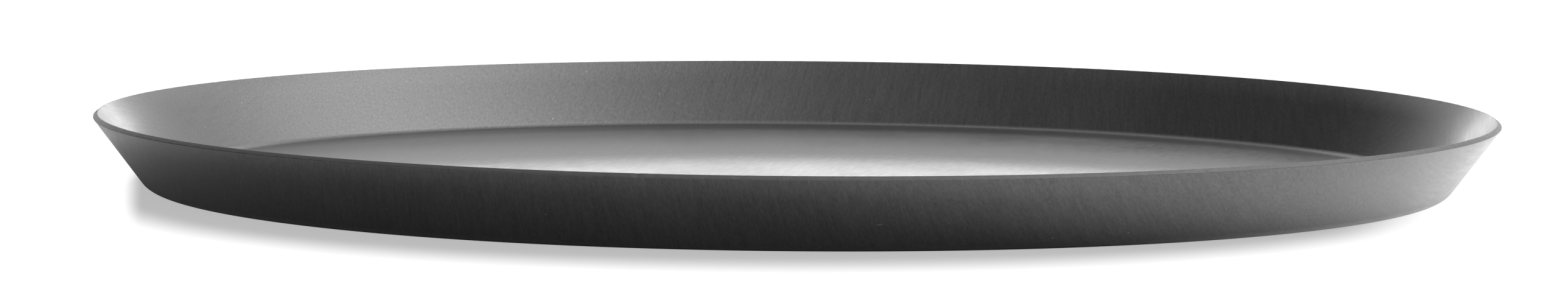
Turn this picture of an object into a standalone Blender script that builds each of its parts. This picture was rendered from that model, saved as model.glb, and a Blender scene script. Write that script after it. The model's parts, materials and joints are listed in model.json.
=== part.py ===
"""A shallow round pan, pressed in one piece from a disc of dark steel sheet.

Metres, +Z up. The origin is the centre of the underside, on the surface that the pan stands on.
The pan is a body of revolution: a flat floor, a bend, a straight wall that flares outwards, and a
plain rim, sheared square to the wall and deburred. It has no other piece, and nothing on it moves.
"""

from math import cos, pi, radians, sin, tan

import bpy

# Driving dimensions
RIM_DIAMETER = 0.356  # over the cut edge's outer corner, its widest point: a 14 inch pan
HEIGHT = 0.0185  # underside to the cut edge's inner corner, its highest point
SHEET = 0.0015  # thickness of the sheet, the same everywhere
WALL_ANGLE = radians(53.0)  # slope of the wall, measured from the floor
BEND_RADIUS = 0.003  # inside radius where the floor turns up into the wall
DEBURR_RADIUS = 0.0002  # rounding on the two corners of the cut edge

# How finely the round shapes are divided
TURN_STEPS = 128
BEND_STEPS = 6
DEBURR_STEPS = 2

# Colour and finish of blued steel
STEEL_COLOUR = (0.085, 0.085, 0.087, 1.0)
STEEL_ROUGHNESS = 0.34
STEEL_METALLIC = 1.0

AXIS_MERGE = 0.00001  # closes the two points on the axis and the seam, and nothing else


def arc(centre, radius, start, end, steps):
    """Points (x, z) on a circular arc from angle start to angle end, both included."""
    x, z = centre
    angles = [start + (end - start) * i / steps for i in range(steps + 1)]
    return [(x + radius * cos(a), z + radius * sin(a)) for a in angles]


def pan_profile():
    """Half section through the sheet, from the floor's centre up the inside, over the rim and back."""
    up_the_wall = (cos(WALL_ANGLE), sin(WALL_ANGLE))
    to_the_inside = (-sin(WALL_ANGLE), cos(WALL_ANGLE))
    inside = WALL_ANGLE + pi / 2
    outside = WALL_ANGLE - pi / 2

    # The cut edge's two corners are quarter turns, which reach the full diameter and height.
    cut_edge = SHEET - 2 * DEBURR_RADIUS
    outer_x = RIM_DIAMETER / 2 - DEBURR_RADIUS
    inner_x = outer_x + cut_edge * to_the_inside[0]
    inner_z = HEIGHT - DEBURR_RADIUS
    outer_z = inner_z - cut_edge * to_the_inside[1]

    # Both arcs of the bend share one centre, above the circle where the flat floor ends.
    wall_top_x = inner_x + DEBURR_RADIUS * to_the_inside[0]
    wall_top_z = inner_z + DEBURR_RADIUS * to_the_inside[1]
    foot_x = wall_top_x - (wall_top_z - SHEET) * up_the_wall[0] / up_the_wall[1]
    bend_centre = (foot_x - BEND_RADIUS * tan(WALL_ANGLE / 2), SHEET + BEND_RADIUS)
    down = -pi / 2

    floor = [(0.0, SHEET)]
    inner_bend = arc(bend_centre, BEND_RADIUS, down, outside, BEND_STEPS)
    inner_corner = arc((inner_x, inner_z), DEBURR_RADIUS, inside, WALL_ANGLE, DEBURR_STEPS)
    outer_corner = arc((outer_x, outer_z), DEBURR_RADIUS, WALL_ANGLE, outside, DEBURR_STEPS)
    outer_bend = arc(bend_centre, BEND_RADIUS + SHEET, outside, down, BEND_STEPS)
    underside = [(0.0, 0.0)]
    return floor + inner_bend + inner_corner + outer_corner + outer_bend + underside


def turned(name, profile, material):
    """Makes an object by turning an open profile, which starts and ends on the axis, about Z."""
    mesh = bpy.data.meshes.new(name)
    edges = [(i, i + 1) for i in range(len(profile) - 1)]
    mesh.from_pydata([(x, 0.0, z) for x, z in profile], edges, [])
    mesh.materials.append(material)
    made = bpy.data.objects.new(name, mesh)
    bpy.context.scene.collection.objects.link(made)

    screw = made.modifiers.new("turn", "SCREW")
    screw.axis = "Z"
    screw.steps = TURN_STEPS
    screw.render_steps = TURN_STEPS
    screw.use_merge_vertices = True
    screw.merge_threshold = AXIS_MERGE
    screw.use_smooth_shade = True


def steel():
    material = bpy.data.materials.new("blued_steel")
    material.use_nodes = True
    shader = material.node_tree.nodes["Principled BSDF"]
    shader.inputs["Base Color"].default_value = STEEL_COLOUR
    shader.inputs["Roughness"].default_value = STEEL_ROUGHNESS
    shader.inputs["Metallic"].default_value = STEEL_METALLIC
    return material


def main():
    for old in list(bpy.data.objects):
        bpy.data.objects.remove(old, do_unlink=True)
    turned("pressed_pan", pan_profile(), steel())


main()
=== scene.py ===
"""The looks of a shallow pan pressed from dark blued steel sheet, in a plain white studio.

Metres, +Z up. The frame's origin is the centre of the pan's underside, and the camera is at -Y.
A light's azimuth is measured from +Y, behind the pan, towards +X, and its elevation from the floor.
"""

import json
from math import cos, pi, radians, sin, tan

import bmesh
import bpy
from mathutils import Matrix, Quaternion, Vector


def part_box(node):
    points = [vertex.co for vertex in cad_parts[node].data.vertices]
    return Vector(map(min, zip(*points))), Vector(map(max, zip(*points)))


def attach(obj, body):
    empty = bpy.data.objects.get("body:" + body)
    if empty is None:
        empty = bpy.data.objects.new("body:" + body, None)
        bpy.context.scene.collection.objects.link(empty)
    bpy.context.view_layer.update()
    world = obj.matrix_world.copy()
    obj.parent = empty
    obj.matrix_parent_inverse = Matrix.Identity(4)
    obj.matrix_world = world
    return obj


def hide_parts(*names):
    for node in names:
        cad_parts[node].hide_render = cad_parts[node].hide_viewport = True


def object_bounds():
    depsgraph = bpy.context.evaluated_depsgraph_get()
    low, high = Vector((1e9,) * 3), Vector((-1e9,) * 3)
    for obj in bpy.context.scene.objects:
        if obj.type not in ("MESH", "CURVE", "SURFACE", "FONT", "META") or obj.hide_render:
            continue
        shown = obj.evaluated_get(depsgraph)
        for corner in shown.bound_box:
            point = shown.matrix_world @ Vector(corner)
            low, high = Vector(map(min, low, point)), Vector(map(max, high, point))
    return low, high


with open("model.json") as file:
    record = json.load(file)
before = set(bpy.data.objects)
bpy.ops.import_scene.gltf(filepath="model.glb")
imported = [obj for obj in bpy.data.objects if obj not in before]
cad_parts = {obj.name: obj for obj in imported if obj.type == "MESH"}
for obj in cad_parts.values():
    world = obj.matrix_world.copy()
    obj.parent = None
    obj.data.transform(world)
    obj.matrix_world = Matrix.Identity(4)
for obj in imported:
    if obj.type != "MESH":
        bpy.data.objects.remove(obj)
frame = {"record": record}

PAN = "pressed_pan"
cad_low, cad_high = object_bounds()

# The sheet and the press tool, as in the CAD model
WALL_ANGLE = radians(53.0)
BEND_RADIUS = 0.003
DEBURR_RADIUS = 0.0002

# How finely the visible pan is divided
TURN_STEPS = 1536
FLOOR_STEPS = 3
BEND_STEPS = 12
WALL_STEPS = 3
DEBURR_STEPS = 4


# Camera

CAMERA_DISTANCE = 1.495
CAMERA_ELEVATION = radians(5.38)
CAMERA_TARGET = Vector((-0.0033, 0.0, 0.0078))
CAMERA_ROLL = radians(0.443)
CAMERA_LENS = 134.75
SENSOR_WIDTH = 36.0


def camera():
    data = bpy.data.cameras.new("camera")
    data.sensor_width = SENSOR_WIDTH
    data.lens = CAMERA_LENS
    data.clip_start = 0.1
    data.clip_end = 100.0
    made = bpy.data.objects.new("camera", data)
    bpy.context.scene.collection.objects.link(made)
    made.location = CAMERA_DISTANCE * Vector((0.0, -cos(CAMERA_ELEVATION), sin(CAMERA_ELEVATION)))
    look = (CAMERA_TARGET - made.location).to_track_quat("-Z", "Y")
    made.rotation_mode = "QUATERNION"
    made.rotation_quaternion = look @ Quaternion((0.0, 0.0, 1.0), CAMERA_ROLL)
    bpy.context.scene.camera = made


# Shader nodes

class Tree:
    """Adds nodes to a material's or a world's tree. A value may be a number or another node's output."""

    def __init__(self, owner):
        owner.use_nodes = True
        self.nodes = owner.node_tree.nodes
        self.links = owner.node_tree.links

    def add(self, kind, inputs, **settings):
        made = self.nodes.new("ShaderNode" + kind)
        for name, value in settings.items():
            setattr(made, name, value)
        for name, value in inputs.items():
            self.feed(made.inputs[name], value)
        return made

    def feed(self, socket, value):
        if isinstance(value, bpy.types.NodeSocket):
            self.links.new(value, socket)
        else:
            socket.default_value = value

    def math(self, operation, first, second=0.0):
        return self.add("Math", {0: first, 1: second}, operation=operation).outputs[0]

    def vector(self, operation, first, second):
        return self.add("VectorMath", {0: first, 1: second}, operation=operation).outputs[0]

    def length(self, value):
        return self.add("VectorMath", {0: value}, operation="LENGTH").outputs["Value"]

    def total(self, values):
        found = values[0]
        for value in values[1:]:
            found = self.math("ADD", found, value)
        return found

    def ramp(self, value, start, end, low=0.0, high=1.0, kind="SMOOTHSTEP"):
        """Goes from low to high as the value goes from start to end, and stays there."""
        inputs = {"Value": value, "From Min": start, "From Max": end, "To Min": low, "To Max": high}
        return self.add("MapRange", inputs, interpolation_type=kind).outputs["Result"]


# The pan

# The rolling grain of the sheet runs this far from the pan's front to back line, to the right at the back
GRAIN_TURN = radians(-14.0)
# The inside's and the outside's textures are read this far apart, so that they differ
SIDE_GAP = 0.003
# Waves of the sheared rim: how many fit round it, and how deep each is
RIM_WAVES = ((173, 0.000015), (281, 0.000012), (397, 0.00001))
# Small knocks in the rim: where, from +X towards +Y, and how wide and deep
RIM_NICKS = (
    (radians(-101.7), 0.0018, 0.00018),
    (radians(-58.3), 0.0015, 0.00022),
    (radians(-47.0), 0.0013, 0.00015),
    (radians(64.0), 0.0016, 0.00018),
    (radians(152.0), 0.0020, 0.00016),
)


def arc(centre, radius, start, end, steps):
    """Points (x, z) on a circular arc from angle start to angle end, both included."""
    x, z = centre
    angles = [start + (end - start) * i / steps for i in range(steps + 1)]
    return [(x + radius * cos(a), z + radius * sin(a)) for a in angles]


def line(start, end, steps):
    """Points (x, z) from start, included, to end, left out."""
    shares = [i / steps for i in range(steps)]
    return [(start[0] + (end[0] - start[0]) * s, start[1] + (end[1] - start[1]) * s) for s in shares]


def profiles():
    """The inside's and the outside's section, each from the axis to the cut edge of the sheet."""
    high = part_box(PAN)[1]
    mounts = {mount["name"]: mount for mount in frame["record"]["mounts"]}
    sheet = mounts["floor"]["pos_m"][2] - mounts["underside"]["pos_m"][2]

    along = (cos(WALL_ANGLE), sin(WALL_ANGLE))
    across = (-sin(WALL_ANGLE), cos(WALL_ANGLE))
    inside = WALL_ANGLE + pi / 2
    outside = WALL_ANGLE - pi / 2
    cut_edge = sheet - 2 * DEBURR_RADIUS
    outer_corner = (high.x - DEBURR_RADIUS, high.z - DEBURR_RADIUS - cut_edge * across[1])
    inner_corner = (outer_corner[0] + cut_edge * across[0], high.z - DEBURR_RADIUS)
    wall_x = inner_corner[0] + DEBURR_RADIUS * across[0]
    wall_z = inner_corner[1] + DEBURR_RADIUS * across[1]
    foot_x = wall_x - (wall_z - sheet) * along[0] / along[1]
    bend_centre = (foot_x - BEND_RADIUS * tan(WALL_ANGLE / 2), sheet + BEND_RADIUS)

    found = []
    for start_z, bend, corner, turn_start in (
        (sheet, BEND_RADIUS, inner_corner, inside),
        (0.0, BEND_RADIUS + sheet, outer_corner, outside),
    ):
        bent = arc(bend_centre, bend, -pi / 2, outside, BEND_STEPS)
        turned = arc(corner, DEBURR_RADIUS, turn_start, WALL_ANGLE, DEBURR_STEPS)
        flat = line((0.0, start_z), bent[0], FLOOR_STEPS)
        found.append(flat + bent[:-1] + line(bent[-1], turned[0], WALL_STEPS) + turned)
    return found


def rim_loss(angle, radius):
    """How far the cut edge stands back at this angle."""
    loss = sum(depth * (1 + sin(count * angle + count)) for count, depth in RIM_WAVES)
    for place, width, depth in RIM_NICKS:
        apart = abs(angle - place % (2 * pi)) * radius / width
        loss += depth * (1 + cos(2 * pi * apart)) / 2 if apart < 0.5 else 0.0
    return loss


def pan():
    mesh = bpy.data.meshes.new("pan")
    edit = bmesh.new()
    blank = edit.verts.layers.float_vector.new("blank")
    edge = edit.verts.layers.float.new("edge")
    angles = [2 * pi * i / TURN_STEPS for i in range(TURN_STEPS)]
    back = Vector((cos(WALL_ANGLE), sin(WALL_ANGLE)))
    losses = [rim_loss(angle, cad_high.x) for angle in angles]

    sides = []
    for profile, gap in zip(profiles(), (0.0, SIDE_GAP)):
        rings = []
        reach = 0.0
        before = profile[0]
        for i, (x, z) in enumerate(profile):
            reach += (Vector((x, z)) - Vector(before)).length
            before = (x, z)
            worn = max(0.0, 1 - (len(profile) - 1 - i) / DEBURR_STEPS)
            ring = []
            for angle, loss in zip(angles if x else angles[:1], losses):
                out = x - back.x * loss * worn
                vert = edit.verts.new((out * cos(angle), out * sin(angle), z - back.y * loss * worn))
                vert[blank] = (reach * cos(angle), reach * sin(angle), gap)
                vert[edge] = worn
                ring.append(vert)
            rings.append(ring)
        sides.append(rings)

    around = sides[0] + sides[1][::-1]
    for low, high in zip(around, around[1:]):
        for i in range(TURN_STEPS):
            j = (i + 1) % TURN_STEPS
            if len(low) == 1:
                edit.faces.new((low[0], high[i], high[j]))
            elif len(high) == 1:
                edit.faces.new((low[j], low[i], high[0]))
            else:
                edit.faces.new((low[i], high[i], high[j], low[j]))
    edit.to_mesh(mesh)
    edit.free()
    mesh.shade_smooth()
    mesh.materials.append(steel())
    made = bpy.data.objects.new("pan", mesh)
    bpy.context.scene.collection.objects.link(made)
    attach(made, "root")
    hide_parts(PAN)
    return made


# The steel

STEEL_GREY = 0.085
STEEL_ROUGHNESS = 0.34
# The cut edge is this much rougher
CUT_ROUGHNESS = 0.2
# The width and length of each texture's grains on the sheet
FINE = (0.00035, 0.0012)
GRAIN = (0.0009, 0.010)
PEEL = (0.0010, 0.0024)
CLOUDS = (0.030, 0.045)
# How far each texture lightens or darkens the steel, and makes it rougher or smoother
FINE_SHADE = 0.16
GRAIN_SHADE = 0.09
CLOUDS_SHADE = 0.05
GRAIN_ROUGHNESS = 0.035
CLOUDS_ROUGHNESS = 0.03
# How high the bumps of the grain and of the pebbled surface stand
GRAIN_HEIGHT = 0.000010
PEEL_HEIGHT = 0.000032
# Specks: how far apart, width, length, the share that is kept, and the turn of their length
BRIGHT_DOTS = (0.022, 0.0004, 0.0005, 0.4, GRAIN_TURN)
BRIGHT_DASHES = (0.012, 0.00025, 0.0022, 0.12, radians(82.0))
DARK_DOTS = (0.014, 0.0005, 0.0008, 0.3, radians(50.0))
BRIGHT_GAIN = 1.5
DARK_LOSS = 0.15


def swing(tree, value, share):
    """Turns a noise of about 0.5 into a change of up to this share either way."""
    return tree.math("MULTIPLY", tree.math("SUBTRACT", value, 0.5), 4 * share)


def steel():
    material = bpy.data.materials.new("dark_blued_steel")
    tree = Tree(material)
    shader = tree.nodes["Principled BSDF"]
    sheet = tree.add("Attribute", {}, attribute_name="blank").outputs["Vector"]
    cut = tree.add("Attribute", {}, attribute_name="edge").outputs["Fac"]

    def noise(across, along, detail=2.0):
        """Noise on the flat sheet, with grains of this width and length."""
        inputs = {"Vector": sheet, "Rotation": (0, 0, GRAIN_TURN), "Scale": (across, along, across)}
        place = tree.add("Mapping", inputs, vector_type="TEXTURE").outputs["Vector"]
        inputs = {"Vector": place, "Scale": 1.0, "Detail": detail, "Roughness": 0.5}
        return tree.add("TexNoise", inputs).outputs["Fac"]

    def specks(apart, across, along, kept, turn):
        """Sparse marks, about one in each patch of the sheet, some of them left out."""
        stretch = along / across
        inputs = {"Vector": sheet, "Rotation": (0, 0, turn), "Scale": (apart, apart * stretch, apart)}
        place = tree.add("Mapping", inputs, vector_type="TEXTURE").outputs["Vector"]
        cell = tree.add("TexVoronoi", {"Vector": place, "Scale": 1.0}, voronoi_dimensions="2D")
        colour = tree.add("SeparateColor", {"Color": cell.outputs["Color"]}).outputs[0]
        # A speck's edge fades from half its width to a little inside that
        near = tree.ramp(cell.outputs["Distance"], 0.5 * across / apart, 0.3 * across / apart)
        return tree.math("MULTIPLY", near, tree.math("LESS_THAN", colour, kept))

    fine = noise(*FINE)
    grain = noise(*GRAIN)
    peel = noise(*PEEL)
    clouds = noise(*CLOUDS, detail=4.0)
    bright = tree.math("ADD", specks(*BRIGHT_DOTS), specks(*BRIGHT_DASHES))
    dark = specks(*DARK_DOTS)

    shade = tree.total([
        swing(tree, fine, FINE_SHADE),
        swing(tree, grain, GRAIN_SHADE),
        swing(tree, clouds, CLOUDS_SHADE),
        tree.math("MULTIPLY", bright, BRIGHT_GAIN),
        tree.math("MULTIPLY", dark, -DARK_LOSS),
    ])
    grey = tree.math("MULTIPLY", tree.math("ADD", shade, 1.0), STEEL_GREY)
    colour = tree.add("CombineColor", {0: grey, 1: grey, 2: grey}).outputs[0]
    tree.feed(shader.inputs["Base Color"], colour)
    tree.feed(shader.inputs["Metallic"], 1.0)

    rough = tree.total([
        swing(tree, clouds, CLOUDS_ROUGHNESS),
        swing(tree, grain, GRAIN_ROUGHNESS),
        tree.math("MULTIPLY", cut, CUT_ROUGHNESS),
    ])
    tree.feed(shader.inputs["Roughness"], tree.math("ADD", rough, STEEL_ROUGHNESS))

    inputs = {"Height": peel, "Strength": 1.0, "Distance": PEEL_HEIGHT}
    peeled = tree.add("Bump", inputs).outputs["Normal"]
    inputs = {"Height": grain, "Strength": 1.0, "Distance": GRAIN_HEIGHT, "Normal": peeled}
    grained = tree.add("Bump", inputs).outputs["Normal"]
    tree.feed(shader.inputs["Normal"], grained)
    return material


# The studio

FLOOR_RADIUS = 12.0
FLOOR_WHITE = 0.8
# The pan sees the floor glow with painted light, this much brighter to its right, where the light comes
# from. Close to the pan's foot it's darker again, a painted shade, and less so the further right the foot
# is
KEYED_FLOOR = 1.18
KEYED_SIDE = (-0.06, 0.18)
KEYED_REACH = (0.6, 0.4)
KEYED_FOOT = (0.171, 0.192)
KEYED_SLANT = 0.13
# The camera sees a lighter floor, like an overexposed white ground, with a soft painted shade round the
# pan's foot, set by position and not cast by the lights. The shade leans to the front left, and it fades
# ten times faster sideways than to the front
SEEN_WHITE = 0.1
SEEN_SHINE = 1.0
SHADED_SHINE = 0.47
SHADE_CENTRE = (-0.008, -0.016, 0.0)
SHADE_RADIUS = 0.160
SHADE_FADE = 0.0047
SHADE_SQUEEZE = (1.0, 10.0, 0.0)
# It ends over a short way on the pan's left, further right towards the front by this lean, and over a
# longer way on the pan's right
SHADE_LEFT = (-0.172, -0.1665)
SHADE_LEAN = 0.11
SHADE_RIGHT = (0.165, 0.125)


def floor():
    bpy.ops.mesh.primitive_circle_add(vertices=128, radius=FLOOR_RADIUS, fill_type="NGON")
    made = bpy.context.object
    made.name = "studio_floor"
    material = bpy.data.materials.new("white_floor")
    tree = Tree(material)
    tree.nodes.remove(tree.nodes["Principled BSDF"])

    def lit(white, strength):
        """White paper that also shines by itself; the shine carries the floor's painted light and painted
        shade.
        """
        paper = tree.add("BsdfDiffuse", {"Color": (white, white, white, 1.0)}).outputs[0]
        shine = tree.add("Emission", {"Color": (1.0, 1.0, 1.0, 1.0), "Strength": strength}).outputs[0]
        return tree.add("AddShader", {0: paper, 1: shine}).outputs[0]

    place = tree.add("NewGeometry", {}).outputs["Position"]
    split = tree.add("SeparateXYZ", {0: place}).outputs
    right = split["X"]
    radius = tree.length(place)
    # Painted light on the floor to the pan's right, with painted shade close to its foot
    foot = tree.math("ADD", radius, tree.math("MULTIPLY", right, KEYED_SLANT))
    painted_key_light = tree.math("MULTIPLY", tree.ramp(right, *KEYED_SIDE), tree.ramp(radius, *KEYED_REACH))
    painted_key_light = tree.math("MULTIPLY", painted_key_light, tree.ramp(foot, *KEYED_FOOT))
    to_pan = lit(FLOOR_WHITE, tree.math("MULTIPLY", painted_key_light, KEYED_FLOOR))
    offset = tree.vector("SUBTRACT", place, SHADE_CENTRE)
    out = tree.length(offset)
    squeezed = tree.length(tree.vector("MULTIPLY", offset, SHADE_SQUEEZE))
    # How far outside the shade's circle a place is, nearly, with depth squeezed as the camera sees it
    outside = tree.math("SUBTRACT", out, SHADE_RADIUS)
    past = tree.math("DIVIDE", tree.math("MULTIPLY", outside, out), squeezed)
    leaning = tree.math("ADD", right, tree.math("MULTIPLY", split["Y"], SHADE_LEAN))
    ends = tree.math("MULTIPLY", tree.ramp(leaning, *SHADE_LEFT), tree.ramp(right, *SHADE_RIGHT))
    # Painted shade on the floor, set by position, not cast by the lights
    painted_shade = tree.math("MULTIPLY", tree.ramp(past, SHADE_FADE, 0.0), ends)
    shine = tree.ramp(painted_shade, 0.0, 1.0, SEEN_SHINE, SHADED_SHINE, kind="LINEAR")
    to_camera = lit(SEEN_WHITE, shine)
    from_camera = tree.add("LightPath", {}).outputs["Is Camera Ray"]
    mixed = tree.add("MixShader", {0: from_camera, 1: to_pan, 2: to_camera}).outputs[0]
    tree.feed(tree.nodes["Material Output"].inputs["Surface"], mixed)
    made.data.materials.append(material)


# The world's lights, in degrees and in brightness. First a faint light from everywhere
AMBIENT = 0.06
# Wide panels behind the pan: lowest and highest elevation, how softly these end, and strength. They
# fade out over these azimuths at either side
PANEL_ENDS = (36.0, 24.0)
PANELS = (
    (6.6, 8.2, 0.4, 12.0),
    (8.2, 9.2, 0.4, 4.0),
    (9.2, 19.0, 1.0, 1.1),
    (19.0, 25.0, 1.5, 0.6),
    (25.0, 33.0, 1.5, 1.9),
)
# Round glows: azimuth, elevation, sharpness and strength
GLOWS = (
    (83.0, 57.0, 12.0, 3.9),
    (62.0, 43.0, 20.0, 2.0),
    (0.0, 46.0, 18.0, 1.3),
    (52.0, 24.0, 12.0, 1.5),
    (187.0, 18.0, 4.5, 0.8),
    (336.0, 64.0, 14.0, 0.7),
    (150.0, 40.0, 6.0, 0.65),
    (240.0, 50.0, 5.0, 0.2),
    (95.0, 10.0, 20.0, 1.2),
)


def aim(azimuth, elevation):
    a, e = radians(azimuth), radians(elevation)
    return Vector((sin(a) * cos(e), cos(a) * cos(e), sin(e)))


def sky():
    """The soft lights of the world: a faint light, wide panels and round glows."""
    bpy.context.scene.view_settings.view_transform = "Standard"
    world = bpy.data.worlds.new("studio")
    bpy.context.scene.world = world
    tree = Tree(world)
    direction = tree.add("TexCoord", {}).outputs["Generated"]
    split = tree.add("SeparateXYZ", {0: direction}).outputs
    height = tree.math("DEGREES", tree.math("ARCSINE", split["Z"]))
    turn = tree.math("ABSOLUTE", tree.math("DEGREES", tree.math("ARCTAN2", split["X"], split["Y"])))

    def glow(azimuth, elevation, sharpness, strength):
        """A round light that fades from its middle."""
        inputs = {0: direction, 1: aim(azimuth, elevation)}
        facing = tree.add("VectorMath", inputs, operation="DOT_PRODUCT").outputs["Value"]
        fade = tree.math("MULTIPLY", tree.math("SUBTRACT", facing, 1.0), sharpness)
        return tree.math("MULTIPLY", tree.math("EXPONENT", fade), strength)

    def panel(low, high, feather, strength):
        """A wide panel behind the pan, between two heights."""
        up = tree.ramp(height, low - feather, low + feather)
        down = tree.ramp(height, high + feather, high - feather)
        wide = tree.ramp(turn, *PANEL_ENDS)
        shape = tree.math("MULTIPLY", tree.math("MULTIPLY", up, down), wide)
        return tree.math("MULTIPLY", shape, strength)

    lights = [AMBIENT]
    lights += [panel(*values) for values in PANELS]
    lights += [glow(*values) for values in GLOWS]
    tree.feed(tree.nodes["Background"].inputs["Color"], (1.0, 1.0, 1.0, 1.0))
    tree.feed(tree.nodes["Background"].inputs["Strength"], tree.total(lights))


camera()
floor()
sky()
pan()
